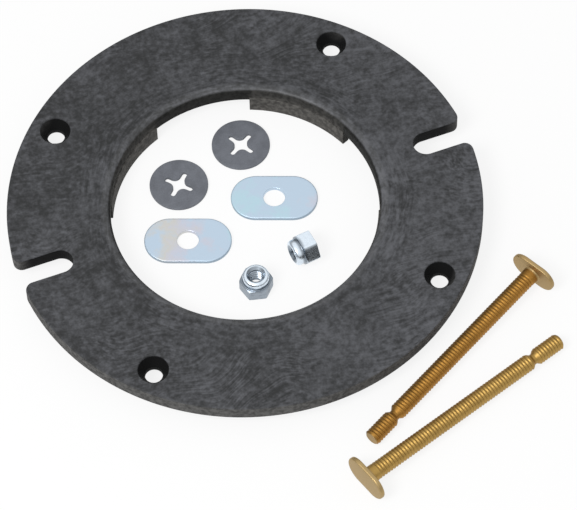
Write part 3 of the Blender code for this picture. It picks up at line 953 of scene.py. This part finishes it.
def brass(name, settings, tint, stained, dull, rubbed):
    """Brass under brown tarnish, in soft clouds and a little more in the thread, with painted light and
    shade across the shank.

    stained is the tarnish all over, rubbed is painted light and shade: how much paler the shank's +Y side
    is painted than its middle, with the -Y side as much darker, and dull is the film on the head. The flat
    of the tip has some of that film.
    """
    finish = Finish(bpy.data.materials.new(name))
    place = finish.local_place()
    radius = finish.size(finish.stretched(place, (1.0, 1.0, 0.0)))
    height = finish.part(place, 2)
    outside = settings.diameter / 2
    in_thread = 1.0 - finish.step(radius, outside - settings.thread_depth, outside)
    on_shank = finish.step(height, 0.0002, 0.0012)
    at_tip = finish.step(height, settings.length - 0.0003, settings.length - 0.0001)
    sideways = finish.part(place, 1) * (1.0 / outside)
    clouds = finish.noise(place, scale=160.0, detail=4.0, roughness=0.6)
    fine = finish.noise(place, scale=1800.0, detail=3.0, roughness=0.6)
    # Painted light and shade: the last term makes the shank's +Y side paler and its -Y side darker.
    stain_and_side_shade = (finish.step(clouds, 0.40, 0.75) * 0.30 + in_thread * on_shank * 0.10 + stained
             - sideways * on_shank * rubbed)
    film = (1.0 - on_shank) * (dull + clouds * 0.4) + at_tip * 0.7
    metal = finish.mix(stain_and_side_shade, solid(tint), solid(settings.tarnish))
    return finish.principled({
        "Base Color": finish.mix(film, metal, solid(settings.dull_head)),
        "Metallic": 1.0,
        "Roughness": 0.32 + stained * 0.25 + clouds * 0.12 + fine * 0.10,
        "Normal": finish.bump(fine, strength=0.20, distance=0.00004)})


def zinc_sheet(name, settings, film_start, film_slope):
    """Passivated zinc on a flat washer: a thin film whose tint drifts from end to end in soft bands.

    film_start and film_slope are where the film stands in its run of tints at the middle of the washer,
    and how far it goes along the washer's length. The outer edge is rougher, and darker with painted shade.
    """
    finish = Finish(bpy.data.materials.new(name))
    place = finish.local_place()
    radius = finish.size(finish.stretched(place, (1.0, 1.0, 0.0)))
    drift = finish.noise(finish.shifted(place, (film_start, 0.0, 0.0)), scale=75.0, detail=2.0,
                         roughness=0.5, distortion=0.3)
    mottle = finish.noise(place, scale=420.0, detail=3.0, roughness=0.6)
    grain = finish.noise(place, scale=2200.0, detail=2.0)
    brushed = finish.noise(finish.stretched(place, (1.0, 0.08, 1.0)), scale=1500.0, detail=2.0)
    along = finish.part(place, 1) * (1.0 / settings.length)
    film = along * film_slope + drift * 0.75 + mottle * 0.30 + film_start - 0.15
    bands = finish.node("ShaderNodeValToRGB", {"stops": (
        (0.04, settings.zinc), (0.20, settings.straw), (0.34, settings.rose), (0.48, settings.zinc),
        (0.66, settings.zinc), (0.80, settings.cyan), (1.00, settings.zinc))}, {0: film})
    off_hole = finish.step(radius, settings.hole + 0.0005, settings.hole + 0.0015)
    below_top = 1.0 - finish.step(finish.part(place, 2), settings.thickness - 0.00020,
                                  settings.thickness - 0.00002)
    on_edge = off_hole * below_top
    return finish.principled({
        # Painted shade: the outer edge is darker, and also rougher.
        "Base Color": finish.mix(on_edge * 0.7, bands, solid(settings.edge_shade)),
        "Metallic": 1.0,
        "Roughness": 0.26 + grain * 0.12 + brushed * 0.06 + on_edge * 0.30,
        "Normal": finish.bump(brushed, strength=0.10, distance=0.00003)})


def zinc_nut(name, settings, dull):
    """Bright zinc on a nut, with painted shade in the bore, under the collar and, as much as dull gives, on
    the hexagon, which dull also roughens.
    """
    finish = Finish(bpy.data.materials.new(name))
    place = finish.local_place()
    radius = finish.size(finish.stretched(place, (1.0, 1.0, 0.0)))
    height = finish.part(place, 2)
    clouds = finish.noise(place, scale=380.0, detail=3.0, roughness=0.6)
    grain = finish.noise(place, scale=2600.0, detail=2.0)
    in_bore = 1.0 - finish.step(radius, settings.mouth, settings.mouth + 0.0002)
    off_corner = finish.size(finish.joined(radius - settings.collar, height - settings.hex_height, 0.0))
    in_corner = 1.0 - finish.step(off_corner, 0.0004, 0.0016)
    below_collar = 1.0 - finish.step(height, settings.hex_height, settings.hex_height + 0.0003)
    on_hexagon = below_collar * (1.0 - in_bore)
    # Painted shade: darker film in the bore, in the corner under the collar and, by dull, on the hexagon;
    # the clouds add grime in patches.
    film = (in_bore * 0.62 + in_corner * 0.80 + on_hexagon * (1.0 - in_corner) * dull
            + finish.step(clouds, 0.5, 0.85) * 0.25)
    return finish.principled({
        "Base Color": finish.mix(film, solid(settings.zinc), solid(settings.grime_and_painted_shade)),
        "Metallic": 1.0,
        "Roughness": 0.17 + clouds * 0.14 + grain * 0.06 + on_hexagon * (dull * 0.3),
        "Normal": finish.bump(clouds, strength=0.15, distance=0.00008)})


def fibre(settings):
    """Slate grey sheet with a fine matt grain."""
    finish = Finish(bpy.data.materials.new("slate_fibre"))
    place = finish.object_place()
    clouds = finish.noise(place, scale=240.0, detail=3.0, roughness=0.6)
    grain = finish.noise(place, scale=2600.0, detail=3.0, roughness=0.7)
    tone = finish.step(clouds * 0.5 + grain * 0.5, 0.35, 0.65)
    return finish.principled({
        "Base Color": finish.mix(tone, shade(settings.fibre, 0.82), shade(settings.fibre, 1.16)),
        "Roughness": 0.50 + grain * 0.18,
        "IOR": 1.45,
        "Normal": finish.bump(grain, strength=0.18, distance=0.00004)})


def box_middle(node):
    """Middle of a CAD node's box, on the surface it stands on."""
    low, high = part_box(node)
    return Vector(((low.x + high.x) / 2, (low.y + high.y) / 2, low.z))


def settle(piece, body, node):
    """Rides a piece on its body and lets it stand for its CAD node."""
    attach(piece, body)
    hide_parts(node)


def on_surface(node, turn):
    """Place of a flat or standing piece in the middle of its CAD node's box, turned about Z."""
    return Matrix.Translation(box_middle(node)) @ Matrix.Rotation(turn, 4, "Z")


def bolt_place(joint, size):
    """Place of a bolt that lies on one straight side of its head, from the hinge under that side.

    The hinge runs along the head. Forward is level, across the hinge, and the shank dips by the angle at
    which both the head's side and the tip touch the surface.
    """
    half_width = size.head_width / 2
    dip = math.atan2(half_width - size.diameter / 2, size.length - size.tip_chamfer + size.head_edge)
    along_head = -Vector(joint["axis"]).normalized()
    up = Vector((0.0, 0.0, 1.0))
    forward = along_head.cross(up)
    axis = forward * math.cos(dip) - up * math.sin(dip)
    down = along_head.cross(axis)
    turn = Matrix((down, along_head, axis)).transposed()
    hinge_on_bolt = Vector((half_width - size.head_edge, 0.0, size.head_edge - size.head_thickness))
    return Matrix.Translation(Vector(joint["pos_m"]) - turn @ hinge_on_bolt) @ turn.to_4x4()


def lying_place(node, size):
    """Place of a nut that lies on a flat with its collar towards about -X.

    Two corners of the hexagon's base touch the +X and +Y sides of the CAD node's box. The middle of the
    base is half the width across corners from both of them.
    """
    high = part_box(node)[1]
    to_corner = size.flat / math.cos(TURN / 12.0)
    lean = size.lying_turn - TURN / 2.0
    base = Vector((high.x - to_corner * math.sin(lean), high.y - to_corner * math.cos(lean), size.flat))
    laid_down = Matrix.Rotation(size.lying_turn, 4, "Z") @ Matrix.Rotation(TURN / 4.0, 4, "Y")
    return Matrix.Translation(base) @ laid_down


class FLANGEKIT_OT_ring(bpy.types.Operator):
    """Build the spacer ring"""
    bl_idname = "flangekit.ring"
    bl_label = "Ring"

    def execute(self, context):
        size = context.scene.flange_kit.ring
        middle = box_middle("flange_ring")
        material = charcoal(size, middle)
        piece = ring_shell(size).piece("spacer_ring", Matrix.Translation(middle), material)
        settle(piece, "ring", "flange_ring")
        return {"FINISHED"}


class FLANGEKIT_OT_bolts(bpy.types.Operator):
    """Build the two threaded bolts with their oblong heads"""
    bl_idname = "flangekit.bolts"
    bl_label = "Bolts"

    def execute(self, context):
        size = context.scene.flange_kit.bolt
        joints = {joint["child"]: joint for joint in frame["joints"]}
        # rubbed paints one side of each shank paler and the other darker, as light and shade.
        wear = {1: {"tint": size.warm_brass, "stained": 0.36, "dull": 0.68, "rubbed": 0.50},
                2: {"tint": size.brass, "stained": 0.12, "dull": 0.65, "rubbed": -0.25}}
        for index, looks in wear.items():
            body = f"bolt_{index}"
            place = bolt_place(joints[body], size)
            material = brass(f"brass_{index}", size, **looks)
            piece = bolt_shell(size).piece(f"threaded_bolt_{index}", place, material)
            settle(piece, body, f"closet_bolt_{index}")
        return {"FINISHED"}


class FLANGEKIT_OT_retainers(bpy.types.Operator):
    """Build the two retainer washers with their cross-shaped holes"""
    bl_idname = "flangekit.retainers"
    bl_label = "Retainers"

    def execute(self, context):
        size = context.scene.flange_kit.retainer
        material = fibre(size)
        for index, turn in ((1, size.first_turn), (2, size.second_turn)):
            node = f"retainer_washer_{index}"
            piece = retainer_shell(size).piece(f"cross_retainer_{index}", on_surface(node, turn), material)
            settle(piece, f"retainer_{index}", node)
        return {"FINISHED"}


class FLANGEKIT_OT_washers(bpy.types.Operator):
    """Build the two oblong washers"""
    bl_idname = "flangekit.washers"
    bl_label = "Washers"

    def execute(self, context):
        size = context.scene.flange_kit.washer
        films = {1: {"film_start": 0.24, "film_slope": -0.34}, 2: {"film_start": -0.04, "film_slope": 0.70}}
        for index, film in films.items():
            node = f"oblong_washer_{index}"
            place = on_surface(node, size.heading - TURN / 4.0)
            material = zinc_sheet(f"zinc_sheet_{index}", size, **film)
            piece = washer_shell(size).piece(f"slotted_washer_{index}", place, material)
            settle(piece, f"washer_{index}", node)
        return {"FINISHED"}


class FLANGEKIT_OT_nuts(bpy.types.Operator):
    """Build the standing and the lying nut"""
    bl_idname = "flangekit.nuts"
    bl_label = "Nuts"

    def execute(self, context):
        kit = context.scene.flange_kit
        size = kit.nut
        standing = on_surface("open_end_nut_1", size.standing_turn)
        lying = lying_place("open_end_nut_2", size)
        # dull paints shade on the standing nut's hexagon and makes it rougher; the lying nut has none.
        for index, place, dull in ((1, standing, 0.64), (2, lying, 0.0)):
            material = zinc_nut(f"zinc_bright_{index}", size, dull)
            piece = nut_shell(size, kit.bolt.pitch).piece(f"collar_nut_{index}", place, material)
            settle(piece, f"nut_{index}", f"open_end_nut_{index}")
        return {"FINISHED"}


def rays(finish):
    """1 for rays from the camera, and 1 for rays sent on by a mirror or glass."""
    seen, glossy, through = [finish.node("ShaderNodeLightPath", output=f"Is {kind} Ray")
                             for kind in ("Camera", "Glossy", "Transmission")]
    return seen, glossy.larger(through)


def studio_world(scene, settings):
    """A pale surround: white where it is seen, softer as light, and dimmer low down in reflections."""
    scene.world = bpy.data.worlds.new("studio_surround")
    finish = Finish(scene.world)
    seen, mirrored = rays(finish)
    rise = finish.part(finish.node("ShaderNodeTexCoord", output="Generated"), 2)
    dome = settings.horizon_level + (1.0 - settings.horizon_level) * finish.step(rise, 0.08, 0.62)
    level = seen + (1.0 - seen) * (mirrored * dome + (1.0 - mirrored) * settings.world_level)
    light = finish.node("ShaderNodeBackground", None, {"Color": WHITE, "Strength": level})
    finish.node("ShaderNodeOutputWorld", None, {"Surface": light})


def studio_floor(scene, settings):
    """A wide floor, white with a soft trace of the shadow where it is seen or reflected."""
    finish = Finish(bpy.data.materials.new("pale_floor"))
    seen, mirrored = rays(finish)
    matt = finish.node("ShaderNodeBsdfDiffuse", None, {"Color": solid(settings.floor)})
    glow = finish.node("ShaderNodeEmission", None, {"Color": WHITE, "Strength": 1.0})
    surface = finish.node("ShaderNodeMixShader", None,
                          {0: seen.larger(mirrored) * (1.0 - settings.shadow), 1: matt, 2: glow})
    finish.node("ShaderNodeOutputMaterial", None, {"Surface": surface})
    mesh = bpy.data.meshes.new("studio_floor")
    reach = settings.floor_reach
    corners = [(x, y, -settings.floor_gap)
               for x, y in ((-reach, -reach), (reach, -reach), (reach, reach), (-reach, reach))]
    mesh.from_pydata(corners, [], [(0, 1, 2, 3)])
    mesh.materials.append(finish.owner)
    floor = bpy.data.objects.new("studio_floor", mesh)
    scene.collection.objects.link(floor)


def studio_lamp(scene, settings):
    """One large soft lamp overhead, a little to the left and in front, aimed at the origin."""
    lamp = bpy.data.lights.new("overhead_softbox", "AREA")
    lamp.shape = "DISK"
    lamp.size = settings.lamp_width
    lamp.energy = settings.key_power
    made = bpy.data.objects.new("overhead_softbox", lamp)
    scene.collection.objects.link(made)
    made.location = settings.lamp_place
    made.rotation_euler = (-Vector(settings.lamp_place)).to_track_quat("-Z", "Y").to_euler()


def studio_camera(scene, settings):
    """The camera, placed from the middle of the ring and turned to the photograph's angle."""
    camera = bpy.data.cameras.new("studio_camera")
    camera.sensor_fit = "HORIZONTAL"
    camera.sensor_width = 36.0
    camera.lens = settings.focal_length
    camera.clip_start = 0.05
    made = bpy.data.objects.new("studio_camera", camera)
    scene.collection.objects.link(made)
    place = box_middle("flange_ring") + Vector(settings.camera_place)
    turn = Euler((settings.camera_tilt, settings.camera_roll, settings.camera_heading), "XYZ")
    made.matrix_world = Matrix.Translation(place) @ turn.to_matrix().to_4x4()
    scene.camera = made


class FLANGEKIT_OT_stage(bpy.types.Operator):
    """Set the floor, the light and the camera"""
    bl_idname = "flangekit.stage"
    bl_label = "Stage"

    def execute(self, context):
        scene = context.scene
        settings = scene.flange_kit.stage
        scene.view_settings.view_transform = "Standard"
        studio_world(scene, settings)
        studio_floor(scene, settings)
        studio_lamp(scene, settings)
        studio_camera(scene, settings)
        return {"FINISHED"}


PIECES = (FLANGEKIT_OT_ring, FLANGEKIT_OT_bolts, FLANGEKIT_OT_retainers, FLANGEKIT_OT_washers,
          FLANGEKIT_OT_nuts, FLANGEKIT_OT_stage)


class FLANGEKIT_PT_panel(bpy.types.Panel):
    bl_idname = "FLANGEKIT_PT_panel"
    bl_label = "Flange Kit"
    bl_space_type = "VIEW_3D"
    bl_region_type = "UI"
    bl_category = "Flange Kit"

    def draw(self, context):
        kit = context.scene.flange_kit
        for operator in PIECES:
            self.layout.operator(operator.bl_idname)
        for name in ("ring", "bolt", "nut", "washer", "retainer", "stage"):
            group = getattr(kit, name)
            box = self.layout.box()
            box.label(text=name.title())
            for key in group.__annotations__:
                box.prop(group, key)


CLASSES = (FlangeRingSettings, BoltSettings, NutSettings, WasherSettings, RetainerSettings, StageSettings,
           FlangeKitSettings, *PIECES, FLANGEKIT_PT_panel)


def register():
    """Registers the settings, the operators and the panel."""
    for item in CLASSES:
        bpy.utils.register_class(item)
    bpy.types.Scene.flange_kit = PointerProperty(type=FlangeKitSettings)


def unregister():
    """Takes back what register did."""
    del bpy.types.Scene.flange_kit
    for item in reversed(CLASSES):
        bpy.utils.unregister_class(item)


def main():
    """Builds every piece and the stage."""
    register()
    bpy.ops.flangekit.ring()
    bpy.ops.flangekit.bolts()
    bpy.ops.flangekit.retainers()
    bpy.ops.flangekit.washers()
    bpy.ops.flangekit.nuts()
    bpy.ops.flangekit.stage()


if __name__ == "__main__":
    main()
